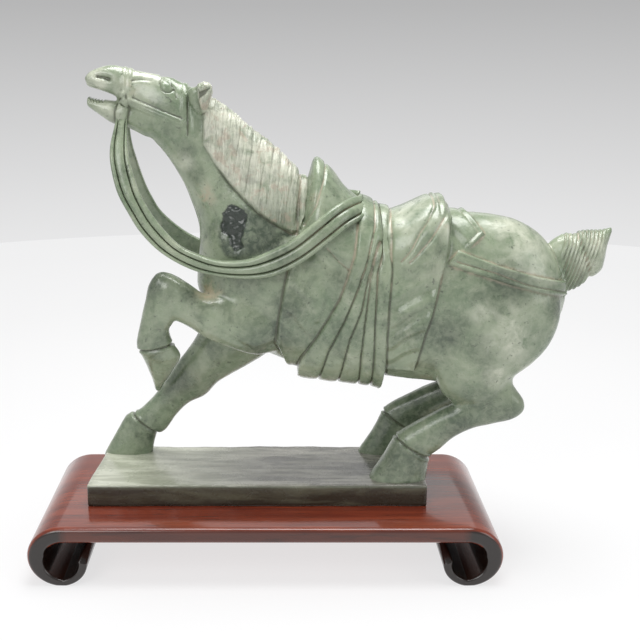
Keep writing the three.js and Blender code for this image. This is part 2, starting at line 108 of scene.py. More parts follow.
def joined_mesh(name, parts):
    """Closed surfaces in stand millimetres, put in one mesh in metres of the row frame."""
    points, faces, start = [], [], 0
    for part_points, part_faces in parts:
        points.append(part_points)
        faces += [[index + start for index in face] for face in part_faces]
        start += len(part_points)
    placed = (np.vstack(points) + (stand_x, 0, 0)) * MM
    mesh = bpy.data.meshes.new(name)
    mesh.from_pydata(placed.tolist(), [], faces)
    return mesh


def placed(name, data):
    """An object of this name in the scene, at the origin."""
    thing = bpy.data.objects.new(name, data)
    bpy.context.collection.objects.link(thing)
    return thing


def applied(piece):
    """The mesh of a piece as its modifier leaves it; the piece itself is taken away."""
    bpy.context.view_layer.update()
    done = bpy.data.meshes.new_from_object(piece.evaluated_get(bpy.context.evaluated_depsgraph_get()))
    bpy.data.objects.remove(piece)
    return done


def fused(mesh, cell):
    """One skin round all the overlapping bodies, from a level set with cells of this many millimetres."""
    rough = placed("rough", mesh)
    remesh = rough.modifiers.new("fuse", "REMESH")
    remesh.mode = "VOXEL"
    remesh.voxel_size = cell * MM
    return applied(rough)


trunk = [
    (-53, 258, -52, 228, spine_y, 12), (-46, 282, -44, 206, spine_y, 25), (-28, 298, -26, 193, spine_y, 34),
    (0, 304, 0, 181, spine_y, 39), (34, 307, 32, 169.5, spine_y, 42), (70, 307, 70, 164.5, spine_y, 43),
    (107, 303, 107, 159, spine_y, 43), (145, 304, 142, 154.5, spine_y, 43),
    (181, 302.5, 170, 152, spine_y, 43), (211, 297.5, 200, 160, spine_y, 41.5),
    (233, 285.5, 224, 172, spine_y, 37), (248, 268, 242.5, 190, spine_y, 28),
    (256, 250, 253, 211, spine_y, 16), (259, 238, 257.5, 226, spine_y, 6),
]
neck = [
    (-60, 398, -93, 363, spine_y, 13), (-46, 397.5, -84, 353, spine_y, 16.5),
    (-33, 390, -73, 336, spine_y, 18.5), (-14, 374, -64, 316, spine_y, 21.5),
    (6, 358, -56.5, 292, spine_y, 26), (24, 341, -57, 266, spine_y, 31), (34, 322, -59, 241, spine_y, 34),
    (44, 296, -52, 226, spine_y, 34),
]
skull = [
    (-148.2, 414.5, -146.6, 410.6, spine_y, 5), (-144.5, 418.8, -145.5, 407.2, spine_y, 8.5),
    (-136, 422.8, -138.4, 404.9, spine_y, 10.6), (-128, 424.6, -129.1, 401.8, spine_y, 11),
    (-120, 423.8, -124, 399, spine_y, 11.2), (-111, 421.4, -114, 386, spine_y, 11.5),
    (-96, 418.6, -101, 372, spine_y, 13.5), (-80, 415.6, -89, 360, spine_y, 16.5),
    (-66, 409.5, -74, 352, spine_y, 17), (-53, 402, -56, 352, spine_y, 14),
]
jaw = [
    (-146.6, 398.4, -146.4, 391.5, spine_y, 6.2), (-145, 399.4, -143.5, 389, spine_y, 7.6),
    (-137.5, 397.8, -134.5, 382.6, spine_y, 9), (-128, 396.6, -126.5, 377.6, spine_y, 9.8),
    (-112, 395, -111, 372.6, spine_y, 10.6), (-98, 392, -97, 364.5, spine_y, 11),
]
ear = [
    (-64, 402, -53, 382, -7, 5.5), (-60.5, 405.4, -50, 388.5, -12, 5.4),
    (-55.5, 408.2, -46.6, 396, -14.6, 4.8), (-49.5, 410.2, -44.6, 402.4, -15.6, 3.4),
    (-45.2, 409.2, -43.6, 406, -15.8, 1.4),
]
raised_forearm = [
    (24, 232, 36, 208, 2, 20), (2, 237, 14, 189, -9, 22), (-17, 237, -8, 184, -15, 20.5),
    (-36, 236.5, -32, 191.5, -18.6, 17.5), (-50, 236, -50, 200, -20, 15.5), (-64, 246, -64, 209, -20, 14),
    (-77, 254, -74.5, 214.5, -20, 13), (-89, 256.5, -84, 217, -20, 12), (-97.5, 247, -93, 222, -20, 9),
    (-100.5, 238, -98.5, 230, -20, 3.5),
]
raised_shank = [
    (-96, 250, -68, 238, -20, 11), (-101.5, 232, -76.5, 216, -20, 11.8),
    (-105.5, 215, -81.8, 206.5, -19.6, 10.8), (-109.5, 197, -80.4, 197.5, -19, 11.4),
    (-109, 190, -79.5, 193.5, -17.5, 11.4), (-105.5, 180.5, -73.6, 181.6, -14, 11.6),
    (-102.5, 169, -79, 170, -7, 11), (-100.7, 158.5, -84, 160, 1, 9.5), (-100, 150, -90, 150, 9, 8),
    (-99, 140, -94, 141, 16, 6),
]
planted_foreleg = [
    (-36, 245.5, 26, 203.5, 12, 24), (-54, 205, 2, 175, 22, 20), (-66.5, 181, -20, 159.5, 27, 16.5),
    (-80.5, 161.5, -42.5, 144.5, 31, 13.6), (-91.5, 144.5, -55.5, 130.5, 34, 12.6),
    (-101.5, 130.5, -70.5, 122.5, 36, 11.6), (-113, 117, -82.5, 110, 38, 10.8),
    (-121, 111, -93.5, 94.5, 39.3, 10.6), (-128, 108.5, -101.5, 92, 40, 10.4),
    (-132.5, 103.5, -103, 88, 40.5, 10.6), (-142, 87, -105, 80, 41, 10.8),
    (-150.5, 72, -106.5, 70.5, 41.3, 11), (-152, 66, -107, 66, 41.3, 11),
]
thigh = [
    (156, 258, 220, 264, -4, 22), (142, 236, 244, 246, -12, 25), (140, 208, 250.5, 222, -16, 24.5),
    (143, 184, 243.5, 197, -18.4, 22), (146, 166, 230, 180, -19.6, 19.4), (151, 151, 215, 168, -20, 16.4),
    (166, 138, 212.5, 160, -20, 13.5), (186, 126, 219, 150, -20, 11), (206, 124, 223.5, 141, -20, 7),
]
shank = [
    (224.5, 142, 224.5, 134, -20, 5), (218, 150, 216, 127, -20, 10.5), (202, 150, 197, 122.5, -20, 12.4),
    (181, 147, 180, 118.6, -20, 12.4), (159, 138.4, 164, 110.5, -19.6, 11.8),
    (138, 126.4, 152.5, 99.5, -19, 12.4), (116.4, 113, 145.2, 93.6, -18.6, 13.4),
    (111.3, 106.8, 143.4, 90.5, -18.2, 14), (103.5, 91.5, 142.3, 80, -18, 15.4),
    (92, 72.8, 141, 70, -17.6, 17), (90, 66, 140.5, 65, -17.6, 17),
]
far_shank = [
    (221, 144.5, 221, 136.5, 31, 5), (214.5, 152.5, 212.5, 129.5, 31.5, 10),
    (198.5, 152, 193.5, 124.5, 32, 11.5), (176, 149, 176.5, 120.5, 33, 11.5),
    (152.5, 141, 161, 111.5, 34.5, 11), (130, 129, 149.5, 99.5, 36.5, 10.8),
    (111.7, 117.4, 141.5, 92, 38.5, 10.8), (106.6, 110, 141, 89, 39.5, 10.8),
    (98.5, 92.5, 140, 78, 40.5, 11), (86, 72, 139, 69, 41, 11.2), (84, 66, 138.5, 65, 41, 11.2),
]
tail_root = [
    (236, 270, 250, 236, spine_y, 9), (246, 280, 261, 234.6, spine_y, 13),
    (255, 284.4, 272, 239.6, spine_y, 14.4), (261, 284.6, 276.8, 244, spine_y, 13.6),
    (263.5, 282, 277.6, 247, spine_y, 11),
]
tail_tip = [
    (260, 282, 275.5, 245, spine_y, 11), (265, 285.6, 281, 246.6, spine_y, 13.4),
    (273, 287, 288.4, 252.6, spine_y, 13.6), (281, 287.3, 290.8, 262, spine_y, 10.6),
    (289, 288.4, 292.2, 274, spine_y, 6.4), (295.8, 290.6, 296, 287.4, spine_y, 1.2),
]
pommel = [
    (33.5, 308, 28, 230, spine_y, 32), (37.6, 328, 33, 226, spine_y, 38),
    (42.6, 348.6, 38, 222, spine_y, 41), (45.4, 348.8, 41, 221, spine_y, 42.4),
    (54, 340.5, 47, 220, spine_y, 43.6), (63, 328.5, 60, 220, spine_y, 44.6),
    (74, 319, 74, 220, spine_y, 45), (92, 310.5, 94, 225, spine_y, 44),
]
cantle = [
    (104, 305, 106, 225, spine_y, 42), (116, 308, 114, 225, spine_y, 45.4),
    (129, 314, 123, 225, spine_y, 46.8), (141, 318.6, 131, 225, spine_y, 47.4),
    (149.5, 317, 138, 228, spine_y, 46.6), (152.5, 309, 146, 234, spine_y, 43),
    (153.5, 299, 151, 246, spine_y, 36),
]
laid_ear = [(a - 3, b - 3, c - 3, d - 3, y, half) for a, b, c, d, y, half in other_side(ear)]
boxy, oval = 2.4, 2
limbs = (raised_forearm, raised_shank, planted_foreleg, shank, far_shank)
flesh = [rounded(trunk), rounded(neck), rounded(skull), rounded(jaw, power=boxy)]
flesh += [rounded(side) for side in (ear, laid_ear, thigh, other_side(thigh))]
flesh += [rounded(limb, power=boxy) for limb in limbs]
flesh += [rounded(tail_root, power=oval), rounded(tail_tip, power=oval)]
flesh += [rounded(pommel, grow=-cloth_rise, power=oval), rounded(cantle, grow=-cloth_rise, power=boxy)]
carving = fused(joined_mesh("carving", flesh), fusing_cell)


def mesh_points(mesh):
    """The vertices of a mesh, in stand millimetres."""
    flat = np.empty(len(mesh.vertices) * 3)
    mesh.vertices.foreach_get("co", flat)
    return flat.reshape(-1, 3) / MM - (stand_x, 0, 0)


def set_points(mesh, points):
    """Puts points in stand millimetres back into the mesh."""
    mesh.vertices.foreach_set("co", ((points + (stand_x, 0, 0)) * MM).ravel())
    mesh.update()


def mesh_edges(mesh):
    """The two ends of every edge."""
    ends = np.empty(len(mesh.edges) * 2, np.int32)
    mesh.edges.foreach_get("vertices", ends)
    return ends.reshape(-1, 2)


def point_normals(mesh):
    """The outward direction at every vertex."""
    flat = np.empty(len(mesh.vertices) * 3, np.float32)
    mesh.vertex_normals.foreach_get("vector", flat)
    return flat.reshape(-1, 3).astype(float)


def neighbour_mean(values, edges, share):
    """The mean of each vertex's neighbours, for an array with any number of columns."""
    a, b = edges.T
    columns = [np.bincount(a, c[b], len(c)) + np.bincount(b, c[a], len(c)) for c in values.T]
    return np.stack(columns, -1) * share


def rubbed(points, edges, weight, rounds):
    """Each point moves toward the mean of its neighbours by its weight, round after round."""
    share = 1 / np.maximum(np.bincount(edges.ravel(), minlength=len(points)), 1)[:, None]
    for _ in range(rounds):
        points = points + weight[:, None] * (neighbour_mean(points, edges, share) - points)
    return points


def ease(value):
    """0 below 0, 1 above 1, and 3t^2 - 2t^3 between."""
    t = np.clip(value, 0, 1)
    return t * t * (3 - 2 * t)


def near(points, centre, inner, outer):
    """1 within the inner radius of a centre, fading to 0 at the outer one."""
    return 1 - ease((np.linalg.norm(points - centre, axis=1) - inner) / (outer - inner))


def nearest_of(points, places):
    """The strongest of several soft spheres, each of x, y, z, inner and outer radius."""
    return np.maximum.reduce([near(points, place[:3], *place[3:]) for place in places])


hollows = [
    (-30, spine_y, 235, 30, 60), (-10, -20, 215, 25, 50), (0, 25, 190, 25, 50), (-60, spine_y, 370, 14, 34),
    (160, -15, 190, 30, 70), (160, 26, 190, 30, 70), (185, -20, 150, 25, 45), (185, 31, 150, 25, 45),
    (205, -20, 140, 20, 35), (205, 31, 140, 20, 35), (-85, -20, 235, 14, 24), (230, spine_y, 255, 14, 40),
    (30, spine_y, 290, 20, 45), (-96, spine_y, 372, 6, 16), (-20, -25, 235, 20, 40), (142, -14, 172, 20, 42),
]
crisp = [
    (-52, -14, 398, 12, 18), (-52, 25, 398, 12, 18), (280, spine_y, 268, 22, 30), (44, spine_y, 343, 20, 32),
    (-135, spine_y, 400, 26, 36), (148, spine_y, 318, 12, 22), (-115, 40, 100, 20, 30),
    (130, -18, 100, 24, 34), (125, 40, 100, 24, 34), (-95, -18, 190, 22, 34),
]
points = mesh_points(carving)
edges = mesh_edges(carving)
least_rub, most_rub = 0.3, 0.95
hoof_share, crisp_share = 0.35, 0.88
hoof_top = 112
soft = np.maximum(least_rub, most_rub * nearest_of(points, hollows))
soft[points[:, 2] < hoof_top] *= hoof_share
points = rubbed(points, edges, soft * (1 - crisp_share * nearest_of(points, crisp)), rubbing_rounds)
set_points(carving, points)

# Carved relief: saddle cloth, sash, straps, mane, bridle and face stand a few millimetres proud of the
# body. They are cut with flat and V-shaped chisels, so each is a height above the rubbed skin, worked
# out from its outline in the side view. The chip, its stain and the muscles are on the near side only.
sash_rise = 5.4
mane_rise = 2.0
relief_floor = 73
points = mesh_points(carving)
normals = point_normals(carving)
X, Y, Z = points.T
near_side = Y < spine_y


def line_distance(line, closed=False):
    """Side-view distance from every vertex to a line of points, and how far along it the nearest place is."""
    line = np.asarray(line, float)
    ends = np.vstack([line, line[:1]]) if closed else line
    best, along, run = np.full(len(X), 1e9), np.zeros(len(X)), 0.0
    for (ax, az), (bx, bz) in zip(ends[:-1], ends[1:]):
        dx, dz = bx - ax, bz - az
        length = math.hypot(dx, dz)
        t = np.clip(((X - ax) * dx + (Z - az) * dz) / length**2, 0, 1)
        gap = np.hypot(X - ax - t * dx, Z - az - t * dz)
        closer = gap < best
        best, along = np.where(closer, gap, best), np.where(closer, run + t * length, along)
        run += length
    return best, along / run


def depth_inside(outline):
    """Distance in the side view to the edge of an outline, above 0 inside it and below 0 outside."""
    inside = np.zeros(len(X), bool)
    for (ax, az), (bx, bz) in zip(outline, outline[1:] + outline[:1]):
        if az != bz:
            inside ^= ((az > Z) != (bz > Z)) & (X < ax + (Z - az) * (bx - ax) / (bz - az))
    return np.where(inside, 1, -1) * line_distance(outline, closed=True)[0]


def bell(value, middle, width):
    """exp(-((value - middle) / width)^2): 1 at the middle, near 0 two widths away from it."""
    return np.exp(-(((value - middle) / width) ** 2))


def within(depth, blur):
    """0 outside an outline and 1 inside it, easing over this many millimetres across its edge."""
    return ease((depth + blur / 2) / blur)


def cut(line, width, depth):
    """A V-shaped cut along a line: depth times a bell curve of the distance from it."""
    return -depth * bell(line_distance(line)[0], 0, width)


def ripple(seed, scale, stretch=(1, 1, 1), lean=0.0):
    """Smooth random waves from about -1 to 1: twelve sines in random directions, scale millimetres long."""
    chance = np.random.default_rng(seed)
    waves = chance.normal(size=(12, 3)) * (2 * np.pi / scale) / 1.7 / np.asarray(stretch)
    waves[:, 2] -= lean * waves[:, 0]
    return np.sin(points @ waves.T + chance.uniform(0, 2 * np.pi, 12)).sum(1) / 4


cloth_outline = [
    (27, 300), (28, 285), (19.4, 260), (16, 243), (12, 220), (9, 197), (15, 186), (31, 140), (101, 140),
    (102.6, 174), (126.6, 172.8), (129.5, 189), (133, 206), (138, 222), (143.7, 250), (147, 271), (149, 292),
    (149, 335), (30, 360),
]
flap_outline = [(140, 325), (152, 318), (163, 309), (172, 300.6), (181.4, 288.7), (167, 277), (140, 268)]
sash_lines = [
    [(78.7, 325), (77, 304), (75.4, 287.5), (74.2, 274), (69, 255.8), (62.6, 237.5), (53.3, 220.6),
     (42.4, 202), (32.2, 186), (29.4, 178.7), (31, 140)],
    [(90.2, 325), (88.7, 293), (83.8, 271), (77.4, 248.7), (66.9, 222), (53.6, 193), (38, 140)],
    [(91.5, 284), (82.9, 246), (80, 229), (71, 204), (58, 140)],
    [(91.8, 283), (86.4, 253), (82.8, 218), (80.9, 189), (81.9, 140)],
    [(91.6, 325), (93.2, 282), (92, 253), (91.3, 218), (92.4, 140)],
    [(103, 325), (105, 287.5), (103.7, 260), (101.7, 232), (101.1, 203), (102.2, 176), (102, 140)],
]
cloth = depth_inside(cloth_outline)
flap = depth_inside(flap_outline)
sash = depth_inside(sash_lines[0] + sash_lines[5][::-1])
in_sash = sash > 0
free = ease((X + 0.9 * (Z - 282) - 160) / 10)
height = cloth_rise * np.maximum(within(cloth, 1.8), 0.9 * within(flap, 1.8) * free)
height += 1.0 * bell(cloth, 2.0, 1.5) * (cloth > 0) - 0.5 * bell(cloth, -1.2, 0.9)
height += (0.8 * bell(flap, 1.5, 1.0) - 0.6 * bell(flap, 3.8, 0.8)) * free
height += (sash_rise - cloth_rise) * within(sash, 1.6) - 0.7 * bell(sash, -1.1, 0.8)
height += 5 * ease((-normals[:, 2] - 0.35) / 0.5) * within(sash, 1.6)
strand_edge = np.minimum.reduce([line_distance(line)[0] for line in sash_lines])
height += in_sash * 1.1 * (1 - np.exp(-strand_edge / 2.2))
for line in sash_lines[1:5]:
    height += cut(line, 0.8, 1.7) * in_sash

cloth_folds = (
    [(141, 247), (126, 242), (110, 232)], [(137, 229), (124, 223), (108, 211)],
    [(132, 208), (120, 202), (107, 191)], [(128, 191), (118, 187), (107, 179)],
    [(24, 246), (36, 232), (42, 212)], [(22, 222), (36, 204), (40, 190)],
    [(44, 262), (52, 240), (46, 216)],
)
open_cloth = ease((cloth + 1) / 3) * ~in_sash
folds = np.zeros(len(points))
for line in cloth_folds:
    folds += cut(line, 3.6, 1.9) * open_cloth
    swell = line_distance([(x - 2, z + 7) for x, z in line])[0]
    folds += 1.5 * bell(swell, 0, 4.5) * open_cloth
height += cut([(51.1, 280), (60, 270), (70.4, 261)], 1.0, 1.2) * (cloth > 0)
saddle_lines = (
    [(141.4, 326), (139.8, 310.6), (133.4, 299.7), (127, 291.4), (119.3, 277.6), (112.7, 269.3)],
    [(150, 322), (149.8, 314.7), (146.9, 303.9), (135.3, 287.3), (124.8, 274.8), (118.8, 268.6)],
    [(49.6, 350), (47.4, 332.4), (42.4, 313), (34, 296)],
)
for line in saddle_lines:
    height += cut(line, 1.1, 1.5)

strap = depth_inside([
    (160, 276), (190, 265), (218, 256.5), (247, 248.6), (268, 243), (268, 231), (247.7, 236.7),
    (211.5, 246.6), (179.4, 256.5), (150, 266),
])
strap_reach = (X > 148) * (cloth < 0) * ease((254 - X) / 2)
height += (2.6 + 0.7 * bell(strap, 1.4, 1.0)) * within(strap, 1.6) * strap_reach
strap_middle = cut([(158, 267.6), (190, 258.5), (218, 248), (247.5, 240), (266, 235)], 0.8, 1.3)
height += strap_middle * (strap > 0) * (X < 253)

mane_low = [
    (-50.5, 384), (-50.7, 362), (-41.6, 347.2), (-28.7, 330.4), (-15.7, 317.1), (-4.4, 306.7), (7.9, 298.1),
    (22.1, 289.9), (31, 292),
]
mane = depth_inside(mane_low + [(36, 312), (42, 350), (0, 400), (-30, 430), (-56, 425), (-54, 400)])
mane_fill = ease((mane + 0.5) / 2.2)
hair = 0.6 * ripple(11, 2.6, (1, 12, 18), 0.16) + 0.5 * ripple(12, 6.5, (1, 12, 20), 0.16)
height += mane_fill * (mane_rise + 0.85 * hair)
height -= 0.9 * bell(mane, -1.0, 0.7) * ease((352 - Z) / 20) * (X < 26)

bridle_straps = (
    ([(-113.8, 424), (-114.4, 404)], 2.0, 1.0), ([(-110.2, 422), (-111.6, 398)], 1.9, 1.1),
    ([(-110, 395.2), (-89.7, 387.1), (-69, 378.8)], 3.0, 1.5), ([(-65.6, 408), (-66.2, 367)], 2.2, 1.2),
    ([(-58.6, 404), (-58.8, 371)], 2.6, 1.1),
)
for line, width, rise in bridle_straps:
    height += rise * ease(1.5 - line_distance(line)[0] / width)
bridle_cuts = (
    [(-112.2, 423), (-113, 400)], [(-109, 395.6), (-89.2, 388.2), (-69, 379.9)],
    [(-109, 393.8), (-89.8, 385.8), (-70, 377.6)], [(-62.8, 402), (-63.4, 369)],
    [(-108, 399), (-89, 391), (-67, 382.4)],
)
for line in bridle_cuts:
    height += cut(line, 0.7, 0.9)
cheek_leaf = depth_inside([
    (-119.6, 395.6), (-114.6, 400), (-112.4, 396), (-111.7, 389), (-114, 380.5), (-118.3, 373),
    (-122.6, 375), (-122.4, 387),
])
height += 3.0 * ease((cheek_leaf + 0.7) / 1.8) - 0.5 * bell(cheek_leaf, -1, 0.7) * (X < -105)
height += 1.9 * np.exp(-((np.hypot(X + 116.3, Z - 401) / 2.8) ** 4))

eyeball = 1.3 * np.exp(-((np.hypot((X + 80) / 4.6, (Z - 408.2) / 3.6)) ** 3))
lower_lid = cut([(-85.4, 409.5), (-84.4, 405.6), (-81, 403.4), (-77, 403.4), (-74, 405.7)], 0.8, 1.0)
upper_lid = cut([(-85.6, 410.5), (-83, 414), (-79.4, 412.4), (-75.6, 408)], 0.8, 1.0)
brow = cut([(-85.4, 416.7), (-78, 413.4), (-74.2, 406), (-71.8, 399.1)], 1.0, 1.1)
nose_line = cut([(-108.9, 412.7), (-101, 413.4), (-93.2, 413)], 1.3, 1.0)
nostril = cut([(-136.4, 416.2), (-132, 415.4), (-127.6, 413.8)], 2.3, 3.4)
lip_line = cut([(-145.5, 411.2), (-141, 409)], 0.9, 0.8)
mouth_corner = cut([(-130, 399.4), (-124.2, 398)], 1.4, 1.6)
teeth = sum(cut([(x, 400.5), (x + 0.3, 395.5)], 0.7, 1.3) for x in (-143.4, -141, -138.6, -136.2, -133.8))
eye = eyeball + lower_lid + upper_lid + brow
height += (X < -62) * (eye + nose_line + nostril + lip_line + mouth_corner + teeth)
ear_hole = depth_inside([(-52.9, 398.4), (-52.6, 404.4), (-44.9, 407), (-47.4, 402.8)])
ear_hollow = ease((ear_hole + 0.6) / 1.6) * (np.abs(Y - spine_y) > 15)
height -= 2.6 * ear_hollow

pastern_cuts = (
    ([(-113, 188), (-95, 190), (-72, 196)], near_side, 215),
    ([(112, 111), (128, 100), (148, 88)], near_side, 215),
    ([(-126, 113), (-112, 101), (-98, 90)], ~near_side, 130),
    ([(106, 114), (124, 101), (148, 86)], ~near_side, 130),
)
for line, on_leg, top in pastern_cuts:
    height += (cut(line, 1.0, 1.7) + 0.6 * bell(line_distance(line)[0], 2.4, 1.0)) * on_leg * (Z < top)

tail_way = (X - 246) * 0.92 - (Z - 262) * 0.30
in_tail = ease((X - 250) / 4) * (Z > 234) * (Z < 292) * ease((tail_way + 1) / 4)
winding = np.sin(tail_way * 2 * np.pi / 3.1 + 0.6 * ripple(31, 40))
height += in_tail * 0.8 * winding * ease((36 - tail_way) / 8)
knot_cut = cut([(264, 288), (280, 244)], 1.7, 1.2) * (X > 246)
height += knot_cut + cut([(240, 282), (249, 262), (254, 238)], 1.2, 1.6)

muscle_lines = (
    ([(-36, 208), (-10, 190), (6, 196)], 3.0, 1.0), ([(-30, 262), (-20, 240), (-2, 222)], 5.0, 1.2),
    ([(150, 246), (146, 210), (152, 176)], 5.0, 1.2), ([(206, 160), (196, 150), (176, 142)], 3.0, 1.0),
    ([(-84, 252), (-92, 238), (-96, 222)], 3.0, 0.7), ([(-56, 352), (-64, 330), (-58, 300)], 6.0, 1.0),
)
for line, width, depth in muscle_lines:
    height += cut(line, width, depth) * near_side
chipped = depth_inside([
    (-37, 298), (-35, 306), (-28, 314), (-20, 312), (-14, 306), (-15, 296), (-19, 287), (-18, 279),
    (-25, 274), (-31, 281), (-30, 288), (-36, 291),
]) + 0.9 * ripple(7, 14) + 0.5 * ripple(9, 5)
pitted = ease((chipped + 0.8) / 2.4) * near_side
height += pitted * (-1.9 + 1.0 * ripple(5, 11) + 0.5 * ripple(6, 4.5))
stain = depth_inside([
    (-37, 296), (-16, 310), (6, 302), (24, 289), (8, 277), (-14, 269), (-31, 269), (-39, 280),
])
bruise = ease((stain + 2 * ripple(8, 12) + 2) / 5) * near_side * (1 - mane_fill)
height += 0.22 * ripple(1, 26) + 0.08 * ripple(2, 9)

share = 1 / np.maximum(np.bincount(edges.ravel(), minlength=len(points)), 1)[:, None]
height = np.where(Z < relief_floor, 0, height)
folds = np.where(Z < relief_floor, 0, folds)
relief = height[:, None] - height.mean()
levelled = relief.copy()
groove_rounds = 14
for _ in range(groove_rounds):
    levelled = neighbour_mean(levelled, edges, share)
# How far a point lies below its surroundings: where the material paints shade in the cuts and hollows.
groove = np.maximum(np.clip((levelled - relief)[:, 0] / 1.1, 0, 1), ear_hollow)
groove = np.maximum(groove, ease(2.2 - line_distance([(-130, 399.6), (-123.6, 398)])[0]))
set_points(carving, points + normals * (height + folds)[:, None])


def keep_values(mesh, name, values):
    """One number for every vertex, which the materials read."""
    mesh.attributes.new(name, "FLOAT", "POINT").data.foreach_set("value", values.astype(np.float32))


def blobs(places):
    """The strongest of several soft spheres of x, y, z and radius, with wavy edges."""
    wave = 1 + 0.35 * ripple(21, 30) + 0.15 * ripple(22, 9)
    spheres = [(x, y, z, 0.1 * size, 1.8 * size) for x, y, z, size in places]
    return nearest_of(points, spheres) * wave


# Painted shade: soft dark green spheres where the body lies in shadow, under the raised forearm, beneath the
# rein, on the belly and over the far legs, with a few darker patches of the stone itself.
painted_shade_and_stain = blobs([
    (-88, -28, 246, 17), (-100, -28, 205, 10), (-62, -32, 244, 12), (-20, -36, 246, 16), (4, -30, 205, 20),
    (-8, -28, 190, 14), (205, -30, 132, 16), (160, -28, 118, 12), (128, 38, 105, 40), (165, 30, 135, 26),
    (-80, 28, 140, 18), (-110, 30, 95, 14), (240, -25, 226, 10), (150, -40, 205, 16), (60, -45, 255, 10),
    (-60, -12, 338, 9), (-66, -14, 356, 8), (35, -44, 200, 12), (118, -34, 86, 24), (205, -38, 248, 18),
    (162, -31, 128, 18), (-98, -31, 198, 16), (185, -30, 140, 18), (-64, -28, 250, 12), (-36, -28, 240, 12),
    (20, -42, 225, 14),
])
# Painted highlights: broad cream patches where light falls, on the forehead and muzzle, the rump and thigh,
# the saddle, the tail and the top of the cloth.
painted_highlight = blobs([
    (-105, -8, 416, 20), (-140, -6, 412, 14), (205, -36, 206, 22), (182, -38, 226, 10), (210, -20, 292, 26),
    (120, -20, 308, 22), (-66, -10, 345, 6), (132, -45, 190, 8), (196, -38, 170, 10), (232, -30, 262, 14),
    (-40, -20, 222, 10), (-128, -6, 388, 12), (275, -6, 268, 16), (-60, -14, 264, 9), (60, -40, 316, 16),
    (148, -38, 300, 12), (-82, -38, 276, 9), (205, -40, 200, 16),
])
warm = blobs([
    (-48, -22, 240, 10), (33, -30, 322, 9), (28, -38, 300, 7), (-42, -22, 214, 8), (90, -36, 300, 8),
    (-52, -18, 320, 8), (-110, -12, 408, 7), (152, -40, 300, 8), (105, -38, 295, 6),
])
keep_values(carving, "groove", groove)
keep_values(carving, "mane", mane_fill)
keep_values(carving, "pitted", pitted)
# The kept value joins the painted shade and the dark stain round the chip.
keep_values(carving, "painted_shade_and_stain", np.clip(np.maximum(painted_shade_and_stain * 0.8, 1.9 * bruise), 0, 1.7))
keep_values(carving, "painted_highlight", np.clip(painted_highlight, 0, 1))
keep_values(carving, "warm", np.clip(warm, 0, 1))


def thinned(mesh, triangles):
    """The same surface with about this many triangles, kept where it bends most."""
    heavy = placed("heavy", mesh)
    heavy.modifiers.new("thin", "DECIMATE").ratio = triangles / (2 * len(mesh.polygons))
    return applied(heavy)


carving_triangles = 148000
carving = thinned(carving, carving_triangles)

# Reins: one flat strap of three strands on each side, cut free of the neck from the bit down past the
# chest and let into the saddle. Each row has the outer edge, the inner edge and half the thickness.
rein_line = [
    (-121.5, -1, 388, -113, -1, 388, 2.6), (-123.5, -7.5, 375.5, -113, -7.5, 375.5, 3),
    (-126.5, -15, 360, -112, -15, 360, 3.2), (-126, -20.5, 346, -109.5, -20.5, 346.5, 3.4),
    (-121, -25.5, 325, -102.5, -25.5, 325, 3.6), (-112.5, -28.5, 308.5, -94.5, -28.5, 310.5, 3.8),
    (-102, -31, 292, -85, -31, 297.5, 4), (-85, -34, 275.5, -69.5, -34, 282, 4.2),
    (-61, -36, 262.5, -53, -36, 274.5, 4.4), (-38, -38, 257, -36, -38, 270, 4.4),
    (-12.5, -40.5, 255.5, -15, -40.5, 271.5, 4.6), (9, -42.4, 258.8, 1.5, -42.4, 278, 4.8),
    (31, -43, 270, 20.5, -43, 287.5, 5), (50.5, -40.5, 284, 39, -39.5, 301.4, 5),
    (66, -36.5, 295.5, 56, -32, 313.5, 4.8), (75, -31.5, 300, 68.5, -18.5, 317.5, 4),
    (81, -26, 303, 80, -4, 318.5, 3.2),
]
far_lead = [0, 1.5, 2, 2, 3, 5, 6, 3, 1] + [0] * 8
far_drop = [0, 0, 0, 0, 0, 0, 1, 2, 4, 4, 4, 2] + [0] * 5
far_line = [
    (ax - lead, 2 * spine_y - ay, az - drop, bx - lead, 2 * spine_y - by, bz - drop, half)
    for (ax, ay, az, bx, by, bz, half), lead, drop in zip(rein_line, far_lead, far_drop)
]
face_points = 57
back_points = 9


def cut_places(t):
    """Where the two cuts between the strands lie across the face, at t from 0 to 1 along the strap."""
    return 0.26 - 0.03 * t, 0.88 - 0.22 * np.clip(t * 3, 0, 1)


def strap_body(rows, steps=5):
    """A strap carried along the rows: a face of three round-edged strands between two cuts, on a flat back.

    At s from 0 to 1 across the face its height is sqrt(1 - |2s - 1|^9), less a narrow and a wide bell curve
    at each cut."""
    dense = smooth_rows(rows, steps)
    first, second, half = dense[:, 0:3], dense[:, 3:6], dense[:, 6]
    middle, across = (first + second) / 2, first - second
    along = np.gradient(middle, axis=0)
    out = np.cross(across, along)
    out /= np.linalg.norm(out, axis=1)[:, None]
    out *= (np.sign(middle[:, 1] - spine_y) * np.sign(out[:, 1]) * half)[:, None]
    s = np.linspace(0, 1, face_points)[None]
    t = np.linspace(0, 1, len(dense))[:, None]
    rim = np.sqrt(np.clip(1 - (np.abs(s - 0.5) * 2) ** 9, 0, 1))
    crown = rim
    for place in cut_places(t):
        crown = crown - rim * (0.25 * bell(s, place, 0.1) + 0.7 * bell(s, place, 0.026))
    back = np.linspace(1, 0, back_points)[None] * 0.94 + 0.03
    shift = np.concatenate([0.5 - s + 0 * t, 0.5 - back + 0 * t], axis=1)[:, :, None]
    rise = np.concatenate([crown, np.full((len(dense), back_points), -0.95)], axis=1)[:, :, None]
    return closed_skin(middle[:, None] + across[:, None] * shift + out[:, None] * rise)


